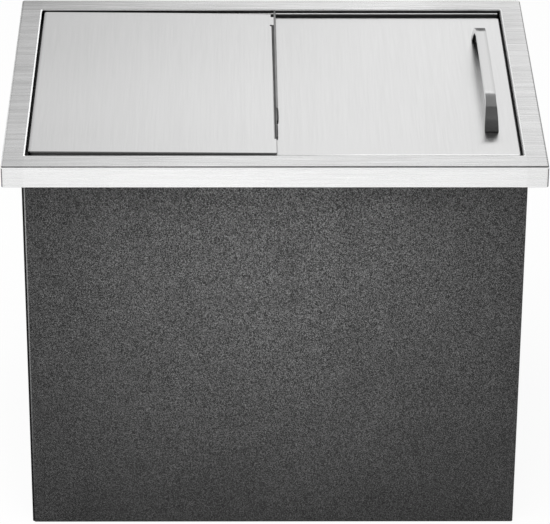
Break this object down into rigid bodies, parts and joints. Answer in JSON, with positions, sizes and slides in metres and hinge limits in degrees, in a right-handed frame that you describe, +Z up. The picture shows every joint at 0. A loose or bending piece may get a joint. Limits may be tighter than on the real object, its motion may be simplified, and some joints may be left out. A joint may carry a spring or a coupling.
{
  "type": "drop in ice bin",
  "caption": "Insulated steel ice bin that hangs in a counter by its rim, with an upper lid, a lower lid that slides under it by a bow handle, and a drain in the floor.",
  "frame": {"origin": "centre of the underside of the casing base, which is the lowest plane", "axes": "+Z up, +X to the user's right along the long side, the user stands at -Y and the handled lid is at +X"},
  "size_m": [0.584, 0.431, 0.4843],
  "materials": {
    "rim_steel": "brushed along the bin's width",
    "lid_steel": "brushed from front to back",
    "liner_steel": "satin",
    "handle_steel": "satin",
    "fastener_steel": "plain zinc",
    "casing_black": "textured powder coat",
    "foam": "rigid foam",
    "nylon": "moulded",
    "vinyl_grey": "soft extruded strip",
    "rubber_black": "matte",
    "brass": "turned"
  },
  "bodies": {
    "bin": {"rim_frame": "rim_steel", "rail_back": "rim_steel", "rail_front": "rim_steel", "liner": "liner_steel", "insulation_bottom": "foam", "insulation_left": "foam", "insulation_right": "foam", "insulation_front": "foam", "insulation_back": "foam", "casing_front_right": "casing_black", "casing_back_left": "casing_black", "casing_base": "casing_black", "drain_flange": "brass", "drain_gasket": "rubber_black", "drain_washer": "nylon", "drain_lock_nut": "brass"},
    "upper_lid": {"upper_lid_panel": "lid_steel", "upper_lid_wiper": "rubber_black", "upper_lid_edge_lip": "vinyl_grey", "upper_glide_front_left": "nylon", "upper_glide_front_right": "nylon", "upper_glide_back_left": "nylon", "upper_glide_back_right": "nylon"},
    "lower_lid": {"lower_lid_panel": "lid_steel", "handle": "handle_steel", "handle_screw_front": "fastener_steel", "handle_screw_back": "fastener_steel", "handle_washer_front": "fastener_steel", "handle_washer_back": "fastener_steel", "lower_glide_front_left": "nylon", "lower_glide_front_right": "nylon", "lower_glide_back_left": "nylon", "lower_glide_back_right": "nylon"},
    "drain_plug": {"drain_plug": "rubber_black"}
  },
  "joints": [
    {"name": "upper_lid_lift", "type": "slide", "parent": "bin", "child": "upper_lid", "axis": [0, 0, 1], "range_m": [0, 0.12]},
    {"name": "lower_lid_slide", "type": "slide", "parent": "bin", "child": "lower_lid", "axis": [-1, 0, 0], "range_m": [0, 0.21]},
    {"name": "drain_plug_pull", "type": "slide", "parent": "bin", "child": "drain_plug", "axis": [0, 0, 1], "range_m": [0, 0.1]}
  ]
}
